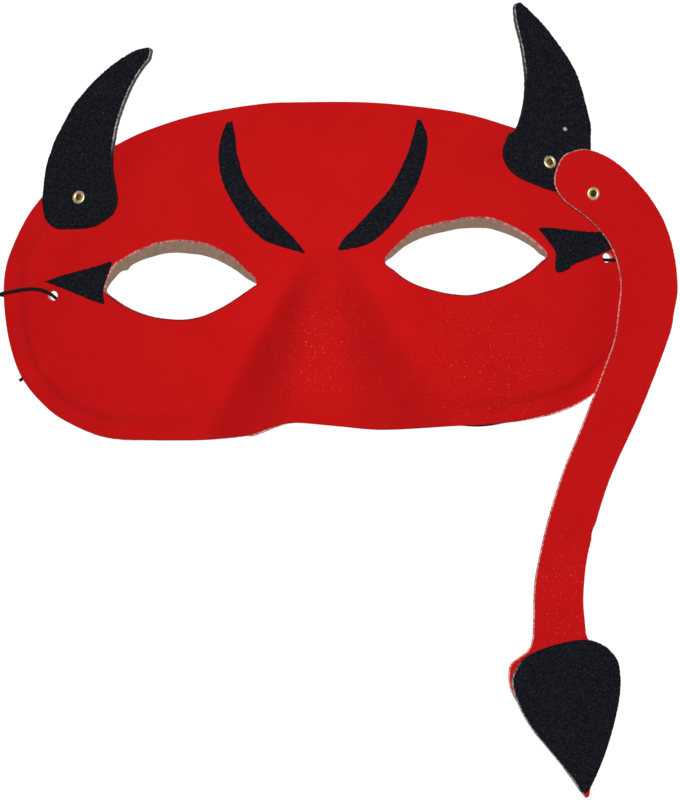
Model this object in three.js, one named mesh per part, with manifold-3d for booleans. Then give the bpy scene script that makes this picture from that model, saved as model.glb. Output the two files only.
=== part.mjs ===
// Devil eye mask: a pressed half mask with two horns, a tail and an elastic
// Millimetres. The mask lies on its back on z = 0, its face up along +Z and its brow towards +Y.

import * as THREE from 'three';
import { mergeVertices } from 'three/addons/utils/BufferGeometryUtils.js';
import Module from 'manifold-3d';

// Driving dimensions of the pressed shell
const halfWidth = 92.3;
const wall = 1.3;
const domeLength = 128;
const domeHeight = 112;
const domeDepth = 92;
const domeCentreY = -5;
const endEdgeHeight = 0.35;

// The pressed flange round the rim: how far it reaches in, and how far it drops below the panel
const flangeWidth = 4.4;
const creaseWidth = 2.6;
const creaseDrop = 1.3;

// The nose, from its root between the brows down to the lower edge
const noseRootY = 7;
const noseLength = 53;
const noseDepth = 23.5;
const noseRootHalfWidth = 6;
const noseSpread = 36;
const noseFlat = 0.1;
const noseRootX = 1.25;
const noseLean = -5.5;

// The edge rides up a little where the elastic passes under it
const liftHeight = 2.55;
const liftReach = [5.5, 5.2];
const liftPlaces = [[-93, -0.4], [-89.5, -25.2], [93, -3]];

// Cards, patches and fasteners
const hornThickness = 1.9;
const tailThickness = 1.3;
const spadeThickness = 1.5;
const liningThickness = 0.5;
const patchThickness = 0.5;
const browClearance = 0.9;
const flashClearance = 0.45;
const clearance = 0.3;
const eyeletFlangeRadius = 1.93;
const eyeletBarrelRadius = 1.3;
const eyeletBoreRadius = 0.95;
const eyeletFlangeThickness = 0.5;
const elasticRadius = 0.48;
const elasticHoleRadius = 1.43;
const knotRadius = 1.5;

// Where things sit on the mask
const eyeletPlaces = { hornLeft: [-67.4, 25.1], hornRight: [66, 25.7], tail: [78.2, 16.6] };
const tailSlope = [-0.4, 0.1];
const tailHeadHeight = 13.44;
const elasticHoles = { left: [-77.9, -1.9], right: [81.7, -2.1] };

// The middle of the mask, horns and tail, seen from above
const middle = [4.5, -41.7];

const red = new THREE.Color(0.7, 0.05, 0.06);
const black = new THREE.Color(0.03, 0.035, 0.05);
const brass = new THREE.Color(0.78, 0.63, 0.33);

const wasm = await Module();
wasm.setup();

function cloth(colour) {
  return new THREE.MeshStandardMaterial({ color: colour, roughness: 0.85, metalness: 0 });
}

function metal(colour) {
  return new THREE.MeshStandardMaterial({ color: colour, roughness: 0.3, metalness: 1 });
}

// The form of the panel

function smooth(from, to, value) {
  const t = THREE.MathUtils.clamp((value - from) / (to - from), 0, 1);
  return t * t * (3 - 2 * t);
}

function domeLevel(x, y) {
  const across = x / domeLength;
  const along = (y - domeCentreY) / domeHeight;
  return domeDepth * Math.sqrt(1 - across * across - along * along);
}

function noseLevel(x, y) {
  const down = THREE.MathUtils.clamp((noseRootY - y) / noseLength, 0, 1);
  const ridgeX = noseRootX + noseLean * down;
  const spread = Math.abs(x - ridgeX) / (noseRootHalfWidth + noseSpread * down);
  const flank = THREE.MathUtils.clamp((spread - noseFlat) / (1 - noseFlat), 0, 1);
  return noseDepth * Math.sin((Math.PI / 2) * down) ** 1.3 * 0.5 * (1 + Math.cos(Math.PI * flank));
}

function edgeLift(x, y) {
  const hump = ([cx, cy]) => Math.exp(-(((x - cx) / liftReach[0]) ** 2) - ((y - cy) / liftReach[1]) ** 2);
  return liftHeight * liftPlaces.map(hump).reduce((a, b) => a + b, 0);
}

function panelHeight(x, y) {
  const above = domeLevel(x, y) - domeLevel(halfWidth, domeCentreY);
  return above + endEdgeHeight + creaseDrop + noseLevel(x, y) + edgeLift(x, y);
}

function panelNormal(x, y) {
  const step = 0.05;
  const slopeX = (panelHeight(x + step, y) - panelHeight(x - step, y)) / (2 * step);
  const slopeY = (panelHeight(x, y + step) - panelHeight(x, y - step)) / (2 * step);
  return new THREE.Vector3(-slopeX, -slopeY, 1).normalize();
}

// Outlines as smooth closed curves through a few points

function closedCurve(points, tension = 0.5) {
  const places = points.map(([x, y]) => new THREE.Vector3(x, y, 0));
  return new THREE.CatmullRomCurve3(places, true, 'catmullrom', tension);
}

function outlineShape(points, samples) {
  const curve = closedCurve(points);
  return new THREE.Shape(curve.getPoints(samples).slice(0, -1).map((p) => new THREE.Vector2(p.x, p.y)));
}

// Solids for joining and cutting

function toSolid(geometry) {
  const bare = geometry.clone();
  bare.deleteAttribute('normal');
  bare.deleteAttribute('uv');
  const welded = mergeVertices(bare, 1e-4);
  const vertProperties = new Float32Array(welded.attributes.position.array);
  const triVerts = new Uint32Array(welded.index.array);
  return new wasm.Manifold(new wasm.Mesh({ numProp: 3, vertProperties, triVerts }));
}

function toGeometry(solid) {
  const mesh = solid.getMesh();
  const geometry = new THREE.BufferGeometry();
  geometry.setAttribute('position', new THREE.BufferAttribute(new Float32Array(mesh.vertProperties), 3));
  geometry.setIndex(Array.from(mesh.triVerts));
  geometry.computeVertexNormals();
  return geometry;
}

function upright(shape, low, high) {
  const geometry = new THREE.ExtrudeGeometry(shape, { depth: high - low, bevelEnabled: false });
  return geometry.translate(0, 0, low);
}

function rod(radius, length, sides = 24) {
  return new THREE.CylinderGeometry(radius, radius, length, sides).rotateX(Math.PI / 2);
}

function closedMesh(positions, triangles) {
  const geometry = new THREE.BufferGeometry();
  geometry.setAttribute('position', new THREE.Float32BufferAttribute(positions, 3));
  geometry.setIndex(triangles);
  const welded = mergeVertices(geometry, 1e-4);
  welded.computeVertexNormals();
  return welded;
}

// The pressed shell: rings from its outline in to a line along its middle, front and back

const shellSegments = 84;
const ringInsets = [0, flangeWidth / 2, flangeWidth, flangeWidth + creaseWidth];
const innerShares = [0.17, 0.34, 0.5, 0.66, 0.83, 1];
const spineShare = 0.66;

const shellOutline = [
  [92.4, -8], [91.9, 4], [88.4, 14.5], [80.5, 24.5], [69.5, 32.2], [56.4, 37.6], [43.5, 42.2],
  [27.3, 45.5], [13.6, 47.4], [-4.1, 48.6], [-13.2, 48.9], [-25.1, 48.1], [-36.1, 46.6], [-48.4, 43.5],
  [-57.1, 40.1], [-66, 36.2], [-73.6, 32], [-82.6, 23.5], [-88.6, 14], [-91.8, 5.7], [-92.6, -5.8],
  [-91.6, -16], [-89, -24.5], [-84.6, -31.4], [-77.9, -37.7], [-66.2, -43.5], [-52, -45.4], [-36.5, -46.4],
  [-24.9, -45.6], [-17.5, -43.8], [-11, -43.2], [2, -45.2], [14.7, -47], [34.8, -47.4], [45, -47.6],
  [55.4, -46.9], [67.2, -44.4], [77, -39.6], [85.5, -31.5], [90.6, -20.5],
];

function flangeDrop(inset) {
  return creaseDrop * (1 - smooth(flangeWidth, flangeWidth + creaseWidth, inset));
}

function shellRings() {
  const curve = closedCurve(shellOutline);
  const rings = [];
  const rim = [];
  for (let i = 0; i < shellSegments; i += 1) {
    const t = i / shellSegments;
    const along = curve.getTangent(t);
    rim.push({ at: curve.getPoint(t), inwards: new THREE.Vector3(-along.y, along.x, 0).normalize() });
  }
  for (const inset of ringInsets) {
    rings.push(rim.map(({ at, inwards }) => ({ at: at.clone().addScaledVector(inwards, inset), inset })));
  }
  const last = rings[rings.length - 1];
  for (const share of innerShares) {
    rings.push(last.map(({ at }, i) => {
      const opposite = last[(shellSegments - i) % shellSegments].at;
      const spine = new THREE.Vector3(((at.x + opposite.x) / 2) * spineShare, domeCentreY, 0);
      return { at: at.clone().lerp(spine, share), inset: halfWidth };
    }));
  }
  return rings;
}

function pressedSheet(high, low) {
  const positions = [];
  const triangles = [];
  const rings = shellRings();
  const level = (offset) => rings.flat().map(({ at, inset }) => {
    const face = new THREE.Vector3(at.x, at.y, panelHeight(at.x, at.y) - flangeDrop(inset));
    return face.addScaledVector(panelNormal(at.x, at.y), offset);
  });
  const [fronts, backs] = [level(high), level(low)];
  for (const p of [...fronts, ...backs]) {
    positions.push(p.x, p.y, p.z);
  }
  const back = fronts.length;
  for (let r = 0; r < rings.length - 1; r += 1) {
    for (let i = 0; i < shellSegments; i += 1) {
      const j = (i + 1) % shellSegments;
      const [a, b] = [r * shellSegments + i, r * shellSegments + j];
      const [c, d] = [a + shellSegments, b + shellSegments];
      triangles.push(a, b, d, a, d, c);
      triangles.push(back + a, back + d, back + b, back + a, back + c, back + d);
    }
  }
  for (let i = 0; i < shellSegments; i += 1) {
    const j = (i + 1) % shellSegments;
    triangles.push(i, back + i, back + j, i, back + j, j);
  }
  return closedMesh(positions, triangles);
}

// Each eye: the cut of the red cloth, and the clear hole, whose upper rim the lining stands proud of

const eyeCutLeft = [
  [-63, -1.5], [-62.6, 0.6], [-61.8, 2.8], [-60.4, 4.9], [-58.7, 6.5], [-55.5, 7.9], [-50.6, 9.9],
  [-47.7, 10.9], [-44.4, 11.3], [-40.8, 11.4], [-37.3, 10.9], [-32.8, 9.8], [-28.6, 7.6], [-25.1, 5],
  [-22.2, 1.8], [-19.3, -2.1], [-23.5, -4.9], [-31.8, -9.2], [-41, -11], [-50.3, -9.3], [-59.6, -4],
];

const eyeClearLeft = [
  [-62.6, -1.7], [-61.5, 0.3], [-59.9, 2], [-58, 3.6], [-52, 6.2], [-49.1, 7.1], [-45.3, 7.8], [-41.5, 7.8],
  [-37.6, 7.2], [-33.9, 6.4], [-29.7, 4.6], [-24.8, 1.4], [-21.8, -1.2], [-19.4, -2.9], [-23.2, -5.3],
  [-27.4, -7.7], [-31.8, -9.7], [-35.9, -11], [-40.9, -11.5], [-46, -10.9], [-50.5, -9.8], [-55.8, -7.4],
  [-60, -4.4],
];

const eyeCutRight = [
  [17.7, 1.2], [19.3, 3.7], [22.9, 6.7], [26.4, 9.2], [29.3, 10.3], [34.5, 11.3], [40.3, 12.1], [44.1, 12],
  [48.4, 11.6], [51.7, 10.4], [54.9, 8.7], [58.4, 6.4], [61.6, 3.7], [64, 0.9], [64.2, -0.5], [59.6, -3.9],
  [51, -8], [41.8, -9.7], [32.5, -8], [23.2, -3.7],
];

const eyeClearRight = [
  [17.9, 0.6], [20.2, 2.3], [23.6, 4.8], [27.5, 6.6], [31.7, 7.8], [36.1, 8.5], [39.6, 9], [43.9, 9],
  [48.2, 8.6], [51.5, 7.5], [54.9, 6], [57.7, 4.4], [60.7, 2.3], [62.6, 0.3], [64.2, -1], [63.1, -1.8],
  [59.9, -4.3], [56.3, -6.3], [51, -8.4], [46.3, -9.5], [41.8, -10.2], [37.1, -9.7], [32.3, -8.5],
  [26.7, -6.4], [22.9, -4.1], [20.4, -1.8],
];

function eyeletPose(name) {
  const [x, y] = eyeletPlaces[name];
  const tail = name === 'tail';
  const height = tail ? tailHeadHeight : panelHeight(x, y);
  const normal = tail ? new THREE.Vector3(-tailSlope[0], -tailSlope[1], 1) : panelNormal(x, y);
  return { at: new THREE.Vector3(x, y, height), normal: normal.normalize() };
}

function lyingCard({ at, normal }) {
  const card = new THREE.Group();
  const right = new THREE.Vector3(1, 0, 0).addScaledVector(normal, -normal.x).normalize();
  const up = normal.clone().cross(right);
  card.quaternion.setFromRotationMatrix(new THREE.Matrix4().makeBasis(right, up, normal));
  card.position.copy(at);
  card.updateMatrix();
  return card;
}

function maskShell() {
  const above = 70;
  let shell = toSolid(pressedSheet(0, -wall));
  const floorBlock = new THREE.BoxGeometry(4 * halfWidth, 4 * halfWidth, above).translate(0, 0, above / 2);
  shell = shell.intersect(toSolid(floorBlock));
  const aboveLining = toSolid(pressedSheet(wall, liningThickness - wall));
  for (const [cut, clear] of [[eyeCutLeft, eyeClearLeft], [eyeCutRight, eyeClearRight]]) {
    const cutCloth = toSolid(upright(outlineShape(cut, 40), -1, above)).intersect(aboveLining);
    shell = shell.subtract(cutCloth).subtract(toSolid(upright(outlineShape(clear, 42), -1, above)));
  }
  for (const [x, y] of Object.values(elasticHoles)) {
    const drill = rod(elasticHoleRadius, 12, 16).translate(x, y, panelHeight(x, y));
    shell = shell.subtract(toSolid(drill));
  }
  for (const name of Object.keys(eyeletPlaces)) {
    const drill = rod(eyeletBarrelRadius + clearance + 0.1, 20).applyMatrix4(lyingCard(eyeletPose(name)).matrix);
    shell = shell.subtract(toSolid(drill));
  }
  return new THREE.Mesh(toGeometry(shell), cloth(red));
}

// Brows and eye flashes: thin cloth patches that follow the panel

function openCurve(points) {
  return new THREE.CatmullRomCurve3(points.map(([x, y]) => new THREE.Vector3(x, y, 0)), false, 'catmullrom', 0.5);
}

function patch(oneEdge, otherEdge, steps, columns, under, startBow = 0, endBow = 0) {
  const [first, second] = [openCurve(oneEdge), openCurve(otherEdge)];
  const positions = [];
  const triangles = [];
  const lift = [patchThickness + under, under];
  for (const height of lift) {
    for (let s = 0; s <= steps; s += 1) {
      const [a, b] = [first.getPoint(s / steps), second.getPoint(s / steps)];
      const bow = startBow * (1 - s / steps) ** 2 + endBow * (s / steps) ** 2;
      for (let c = 0; c <= columns; c += 1) {
        const p = a.clone().lerp(b, c / columns);
        p.x += bow * Math.sin((Math.PI * c) / columns);
        const slant = panelNormal(p.x, p.y).z;
        positions.push(p.x, p.y, panelHeight(p.x, p.y) + height / slant);
      }
    }
  }
  const row = columns + 1;
  const back = (steps + 1) * row;
  const side = (a, b) => triangles.push(a, b, back + b, a, back + b, back + a);
  for (let s = 0; s < steps; s += 1) {
    for (let c = 0; c < columns; c += 1) {
      const a = s * row + c;
      const [b, d, e] = [a + 1, a + row, a + row + 1];
      triangles.push(a, e, b, a, d, e);
      triangles.push(back + a, back + b, back + e, back + a, back + e, back + d);
    }
    side(s * row + row, s * row);
    side(s * row + columns, (s + 1) * row + columns);
  }
  for (let c = 0; c < columns; c += 1) {
    side(c, c + 1);
    side(steps * row + c + 1, steps * row + c);
  }
  const flat = closedMesh(positions, triangles);
  return new THREE.Mesh(toGeometry(facingOut(flat)), cloth(black));
}

function facingOut(geometry) {
  const index = geometry.index.array;
  const p = geometry.attributes.position;
  const corner = (i) => new THREE.Vector3().fromBufferAttribute(p, index[i]);
  let volume = 0;
  for (let i = 0; i < index.length; i += 3) {
    volume += corner(i).dot(corner(i + 1).cross(corner(i + 2)));
  }
  if (volume < 0) {
    for (let i = 0; i < index.length; i += 3) {
      [index[i], index[i + 1]] = [index[i + 1], index[i]];
    }
  }
  return toSolid(geometry);
}

const browLeftEdges = [
  [[-24.6, 44], [-26.8, 38.6], [-27.6, 32.7], [-26.2, 24.9], [-21, 14.7], [-17, 10.2], [-13.8, 8.2], [-4.8, 4.8]],
  [[-22.9, 44.1], [-22.3, 39.5], [-22.1, 34.6], [-20, 26.1], [-14.9, 18.2], [-10.4, 12.6], [-7.6, 9.4], [-4.8, 5.2]],
];

const browRightEdges = [
  [[29.9, 41], [28.2, 36], [25.8, 30.2], [21, 22.1], [16, 16.9], [10, 11.2], [6.9, 8.7], [4.6, 5.6]],
  [[31, 40.8], [32.4, 35.6], [31.4, 29.6], [28.2, 22], [23, 14.4], [17, 8.4], [12, 5.9], [4.9, 4.9]],
];

const flashLeftEdges = [
  [[-79.8, 2.5], [-77.8, 2.9], [-74.2, 3.8], [-69.5, 4.7], [-64.7, 5.6], [-60.5, 6.5]],
  [[-79.7, 2], [-77.3, 0.8], [-73.3, -0.8], [-70, -2.4], [-67.1, -3.8], [-63, -5.5]],
];

const flashRightEdges = [
  [[62.3, 7.6], [64.2, 7.7], [68.5, 7.1], [72.8, 6.3], [78.6, 5.5], [80.5, 5.2], [82.7, 2.2]],
  [[66.9, -5.4], [70.3, -4.6], [72.1, -3.3], [75.1, -2.4], [78.7, -1.4], [82.2, 0.3], [82.8, 1.4]],
];

// Horns and tail: flat cut cards, each on one eyelet at its own origin

const hornLeftOutline = [
  [23.7, 40.4], [20.9, 40.3], [16.7, 39], [11.6, 36.6], [6.9, 33.7], [0.4, 28.3], [-4.3, 22], [-7.6, 16.6],
  [-9.5, 12.6], [-10.5, 9.3], [-11.8, 2.4], [-11.9, -0.6], [-11.3, -3.8], [-9.7, -6.1], [-8, -7.2],
  [-4.4, -7.9], [0.1, -8.6], [3.8, -8.5], [6.5, -7.7], [9.3, -6.2], [10.5, -4.4], [11.1, -2.4], [11, 0.2],
  [10.4, 5.4], [10.4, 8.8], [11, 12.6], [12.8, 19.5], [14.5, 23.5], [16.5, 27.4], [18.4, 30.5],
  [20.3, 33], [24.4, 37.1], [25.2, 39.2], [25, 40.1],
];

const hornRightOutline = [
  [-5.8, 47.9], [-6.7, 46.8], [-6.8, 44.1], [-5.9, 38.2], [-5.1, 32.1], [-4.8, 26.7], [-5.3, 20.9],
  [-6.4, 16], [-8.3, 11], [-9.7, 9], [-11.3, 8.1], [-12.2, 6.2], [-13.3, 3.6], [-13.3, 0.9], [-12.4, -1.2],
  [-10.5, -3.2], [-8.2, -4.6], [-3.5, -6.3], [1.1, -7.6], [7.4, -8.1], [11.7, -5.2], [13.7, -0.9],
  [13.6, 5.5], [14.1, 11.8], [13.1, 18.3], [12.3, 22.1], [11.3, 26.1], [9.4, 30.5], [6.3, 35.5],
  [2.5, 40.6], [-0.9, 44.2], [-4.8, 47.7],
];

const tailOutline = [
  [-0.9, 12.6], [4.6, 10.4], [9.9, 6.5], [14.5, 1.5], [18.6, -4.1], [22.2, -11.3], [24.3, -20.6],
  [24.6, -29.8], [23, -36.4], [20.5, -44.2], [10.9, -62.9], [2.8, -76.4], [-1.5, -84.2], [-6.1, -95],
  [-9.5, -105], [-11.3, -115], [-11.4, -122.4], [-10.6, -128], [-4.9, -131], [-2.9, -135], [-2.5, -140.9],
  [-5.1, -152], [-8.1, -159.6], [-12.7, -169.6], [-13.9, -173.2], [-15.7, -171.8], [-24.3, -158.4],
  [-32.9, -144.8], [-35.5, -139.4], [-35.6, -134.6], [-34.3, -132.1], [-29.5, -129.4], [-27.7, -126.4],
  [-26.9, -120.8], [-25.9, -110.9], [-23.8, -102.8], [-20.5, -93], [-15, -80], [-8.7, -68.2], [-3.5, -58.3],
  [1.7, -48], [4.3, -42.2], [6.1, -34], [7.3, -26.6], [6.3, -19.2], [3.4, -12.8], [-2, -6.6], [-8.5, -1.2],
  [-11, 3], [-10.8, 6.6], [-8.3, 11], [-4.9, 12.4],
];

const spadeOutline = [
  [-12.7, -127.9], [-22, -128.5], [-30.3, -130.7], [-34, -134], [-35.4, -138], [-33.8, -144.5],
  [-30.2, -151.6], [-25.1, -158.6], [-18.6, -167.5], [-16.3, -171.6], [-14.1, -170.8], [-10.7, -165.5],
  [-7.7, -159.5], [-4.7, -152], [-2.7, -144.9], [-2.1, -139.4], [-2.9, -134.2], [-7.1, -129.8],
];

function card(points, samples, low, thickness, colour) {
  let solid = toSolid(upright(outlineShape(points, samples), low, low + thickness));
  if (points !== spadeOutline) {
    solid = solid.subtract(toSolid(rod(eyeletBarrelRadius + clearance, 20)));
  }
  return new THREE.Mesh(toGeometry(solid), cloth(colour));
}

// An eyelet: a rolled flange in front, a barrel through the stack and a flat flange behind

function eyelet(frontFace, backFace) {
  const crown = frontFace + clearance + eyeletFlangeThickness;
  const seat = frontFace + clearance;
  const foot = backFace - clearance;
  const between = (eyeletFlangeRadius + eyeletBoreRadius) / 2;
  const profile = [
    [eyeletBoreRadius, foot - eyeletFlangeThickness * 0.6], [eyeletFlangeRadius, foot - eyeletFlangeThickness * 0.6],
    [eyeletFlangeRadius, foot], [eyeletBarrelRadius, foot],
    [eyeletBarrelRadius, seat], [eyeletFlangeRadius, seat],
    [eyeletFlangeRadius, seat + eyeletFlangeThickness * 0.4], [between + 0.2, crown], [between - 0.15, crown],
    [eyeletBoreRadius, foot - eyeletFlangeThickness * 0.6],
  ];
  const lathe = new THREE.LatheGeometry(profile.map(([r, h]) => new THREE.Vector2(r, h)), 16);
  return new THREE.Mesh(lathe.rotateX(Math.PI / 2), metal(brass));
}

// The elastic: thin round cord, knotted inside both holes, over the edges and slack behind the mask

const elasticRoute = [
  [-76.7, -3, 8.4], [-77.45, -2.35, 9.7], [-78.05, -1.75, 10.85], [-78.95, -1.05, 11.35],
  [-80.8, -0.1, 10.7], [-84, 0.55, 9.1], [-88.2, 0.4, 7], [-91.2, 0.05, 5.2],
  [-92.7, -0.15, 3.95], [-93.3, -0.4, 2.35], [-92.75, -0.6, 1.15], [-91.2, -0.6, 0.58],
  [-87.5, 0.5, 0.58], [-82, 5.5, 0.58], [-75.5, 8.5, 0.58], [-70.6, 4.5, 0.58], [-69, -5, 0.58],
  [-65.5, -16, 0.58], [-57, -27, 0.58], [-42, -34.5, 0.58], [-22, -38.3, 0.58], [0, -39.5, 0.58],
  [22, -43.6, 0.58], [43, -47.5, 0.58], [57, -44.6, 0.58], [70, -35.5, 0.58], [79, -22.5, 0.58],
  [82, -10, 0.58], [85.2, -4.6, 0.58], [91.5, -3.1, 0.58], [92.9, -3, 1.25], [93.4, -3, 2.5],
  [92.9, -3, 3.75], [91.5, -3, 4.85], [87.6, -2.95, 6.5], [84.6, -2.9, 7.95],
  [83.2, -2.85, 8.7], [82.2, -2.8, 8.75], [81.45, -2.7, 7.95], [80.6, -2.6, 7],
];

const elasticEndRoute = [
  [-75.75, -4.1, 5.95], [-75.8, -4.6, 3.6], [-76, -5.8, 1.5], [-75.9, -7.8, 0.62], [-75.7, -10.5, 0.58],
  [-76.7, -14.2, 0.58], [-79.9, -18.2, 0.58], [-84.4, -21.8, 0.58], [-89.5, -25.6, 0.58],
];

const knotPlaces = { left: [-75.75, -3.9, 7.5], right: [79.3, -2.45, 5.8] };

class PointPacedCurve extends THREE.CatmullRomCurve3 {
  // Steps keep to the route's own points, which lie closer together in the bends
  getUtoTmapping(u) {
    return u;
  }
}

function cord(route, steps) {
  const path = new PointPacedCurve(route.map((p) => new THREE.Vector3(...p)), false, 'centripetal');
  const section = new THREE.Shape();
  section.absarc(0, 0, elasticRadius, 0, 2 * Math.PI);
  const settings = { steps, curveSegments: 4, extrudePath: path };
  return new THREE.Mesh(new THREE.ExtrudeGeometry(section, settings), cloth(black));
}

function knot([x, y, z]) {
  const geometry = new THREE.SphereGeometry(knotRadius, 10, 6).rotateX(Math.PI / 2);
  return new THREE.Mesh(geometry.scale(1, 1, 0.8).translate(x, y, z), cloth(black));
}

// Assembly

const devilMask = new THREE.Group();
devilMask.position.set(-middle[0], -middle[1], 0);

function place(parent, name, mesh) {
  mesh.name = name;
  parent.add(mesh);
}

place(devilMask, 'mask_shell', maskShell());
place(devilMask, 'brow_left', patch(...browLeftEdges, 16, 2, browClearance));
place(devilMask, 'brow_right', patch(...browRightEdges, 16, 2, browClearance));
place(devilMask, 'eye_flash_left', patch(...flashLeftEdges, 8, 4, flashClearance, 0, -1.6));
place(devilMask, 'eye_flash_right', patch(...flashRightEdges, 8, 4, flashClearance, 1.6, 0));

const hornLeft = lyingCard(eyeletPose('hornLeft'));
place(hornLeft, 'horn_left', card(hornLeftOutline, 62, clearance, hornThickness, black));
place(hornLeft, 'eyelet_horn_left', eyelet(clearance + hornThickness, -wall - 0.4));

const hornRight = lyingCard(eyeletPose('hornRight'));
place(hornRight, 'horn_right', card(hornRightOutline, 62, clearance, hornThickness, black));
place(hornRight, 'eyelet_horn_right', eyelet(clearance + hornThickness, -wall - 0.85));

const tail = lyingCard(eyeletPose('tail'));
place(tail, 'tail', card(tailOutline, 116, 0, tailThickness, red));
place(tail, 'spade_patch', card(spadeOutline, 54, tailThickness + clearance, spadeThickness, black));
place(tail, 'eyelet_tail', eyelet(tailThickness, -7.1));

devilMask.add(hornLeft, hornRight, tail);

place(devilMask, 'elastic', cord(elasticRoute, 2 * (elasticRoute.length - 1)));
place(devilMask, 'elastic_end', cord(elasticEndRoute, 2 * (elasticEndRoute.length - 1)));
place(devilMask, 'elastic_knot_left', knot(knotPlaces.left));
place(devilMask, 'elastic_knot_right', knot(knotPlaces.right));

export default devilMask;
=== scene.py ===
import math

import bmesh
import bpy
from mathutils import Matrix, Vector, noise
from mathutils.kdtree import KDTree


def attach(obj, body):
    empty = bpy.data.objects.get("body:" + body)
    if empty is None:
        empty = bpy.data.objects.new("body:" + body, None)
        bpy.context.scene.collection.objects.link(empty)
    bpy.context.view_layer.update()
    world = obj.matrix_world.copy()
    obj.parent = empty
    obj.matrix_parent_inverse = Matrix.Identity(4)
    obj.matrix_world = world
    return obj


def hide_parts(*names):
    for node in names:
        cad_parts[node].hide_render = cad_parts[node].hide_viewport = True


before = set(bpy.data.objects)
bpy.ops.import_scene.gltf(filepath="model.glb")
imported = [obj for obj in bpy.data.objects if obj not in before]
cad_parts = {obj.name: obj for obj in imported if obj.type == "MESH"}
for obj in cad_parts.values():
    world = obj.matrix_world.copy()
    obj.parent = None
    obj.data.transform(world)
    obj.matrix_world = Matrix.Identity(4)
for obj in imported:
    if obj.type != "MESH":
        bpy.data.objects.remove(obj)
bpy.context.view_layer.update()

mm = 0.001
faceCentre = (-4.5, 41.7)  # the point between the eyes, in the frame, mm


def inFrame(p):
    return Vector(((p[0] + faceCentre[0]) * mm, (p[1] + faceCentre[1]) * mm, p[2] * mm))


# camera

view = {
    "height": 2.5, "roll": -4.0, "sensor": 36, "farthest": 10,
    "centre": (2.24, -37.5, 0),  # mm from the point between the eyes
    "pixelsPerMm": 3.5, "atHeight": 22, "tall": 800,
}


def addCamera():
    data = bpy.data.cameras.new("camera")
    data.sensor_fit = "VERTICAL"
    data.sensor_height = view["sensor"]
    reach = view["height"] / mm - view["atHeight"]
    data.lens = view["sensor"] * view["pixelsPerMm"] * reach / view["tall"]
    data.clip_end = view["farthest"]
    camera = bpy.data.objects.new("camera", data)
    spot = inFrame(view["centre"])
    camera.location = (spot.x, spot.y, view["height"])
    camera.rotation_euler = (0, 0, math.radians(view["roll"]))
    bpy.context.scene.collection.objects.link(camera)
    bpy.context.scene.camera = camera


addCamera()


# smooth lines through a few points

def smoothStep(low, high, value):
    t = max(0.0, min(1.0, (value - low) / (high - low)))
    return t * t * (3 - 2 * t)


def throughPoints(points, perSpan, closed=False, power=0.0):
    places = [Vector(p) for p in points]
    if closed:
        places = [places[-1], *places, places[0], places[1]]
    else:
        places = [places[0] * 2 - places[1], *places, places[-1] * 2 - places[-2]]
    line = []
    for a, b, c, d in zip(places, places[1:], places[2:], places[3:]):
        before, here, after = ((q - p).length**power for p, q in ((a, b), (b, c), (c, d)))
        leave = ((b - a) / before - (c - a) / (before + here) + (c - b) / here) * here
        arrive = ((c - b) / here - (d - b) / (here + after) + (d - c) / after) * here
        for s in range(perSpan):
            t = s / perSpan
            keep = b * (2 * t**3 - 3 * t**2 + 1) + c * (3 * t**2 - 2 * t**3)
            line.append(keep + leave * (t**3 - 2 * t**2 + t) + arrive * (t**3 - t**2))
    return line if closed else [*line, places[-2]]


def evenly(line, step):
    spaced, since = [line[0]], 0.0
    for a, b in zip(line, line[1:]):
        span = (b - a).length
        while since + span >= step:
            a = a.lerp(b, (step - since) / span)
            spaced.append(a.copy())
            span, since = (b - a).length, 0.0
        since += span
    return [*spaced[:-1], line[-1]]


# materials

def newMaterial(name):
    material = bpy.data.materials.new(name)
    material.use_nodes = True
    tree = material.node_tree
    return material, tree, tree.nodes["Principled BSDF"]


def addNode(tree, kind, **values):
    made = tree.nodes.new("ShaderNode" + kind)
    for key, value in values.items():
        if key in made.inputs:
            made.inputs[key].default_value = value
        else:
            setattr(made, key, value)
    return made


def objectCoords(tree):
    return addNode(tree, "TexCoord").outputs["Object"]


def noiseField(tree, scale, detail, rough):
    field = addNode(tree, "TexNoise", Scale=scale, Detail=detail, Roughness=rough)
    tree.links.new(objectCoords(tree), field.inputs["Vector"])
    return field.outputs["Fac"]


def ramp(tree, value, stops):
    made = addNode(tree, "ValToRGB")
    points = made.color_ramp.elements
    while len(points) < len(stops):
        points.new(0.5)
    for point, (place, colour) in zip(points, stops):
        point.position = place
        point.color = (*colour, 1)
    tree.links.new(value, made.inputs["Fac"])
    return made.outputs["Color"]


def fade(tree, value, low, high):
    return ramp(tree, value, [(low, (0, 0, 0)), (high, (1, 1, 1))])


def fill(tree, socket, value):
    if isinstance(value, bpy.types.NodeSocket):
        tree.links.new(value, socket)
    else:
        socket.default_value = (*value, 1) if isinstance(value, tuple) else value


def mixed(tree, share, first, second, kind="MIX"):
    made = addNode(tree, "Mix", data_type="RGBA", blend_type=kind)
    # 0, 6 and 7 are the factor and the two colours of a colour mix
    for place, value in ((0, share), (6, first), (7, second)):
        fill(tree, made.inputs[place], value)
    return made.outputs[2]


def joined(tree, operation, first, second):
    made = addNode(tree, "Math", operation=operation)
    fill(tree, made.inputs[0], first)
    fill(tree, made.inputs[1], second)
    return made.outputs[0]


def nearSpot(tree, spot, reach):
    away = addNode(tree, "VectorMath", operation="DISTANCE")
    tree.links.new(objectCoords(tree), away.inputs[0])
    away.inputs[1].default_value = spot
    share = addNode(tree, "MapRange")
    share.inputs["From Max"].default_value = reach
    share.inputs["To Min"].default_value = 1.0
    share.inputs["To Max"].default_value = 0.0
    tree.links.new(away.outputs["Value"], share.inputs["Value"])
    return share.outputs["Result"]


def nearAny(tree, spots, least=0.0):
    near = least
    for spot, reach in spots:
        near = joined(tree, "MAXIMUM", near, nearSpot(tree, spot, reach))
    return near


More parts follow.
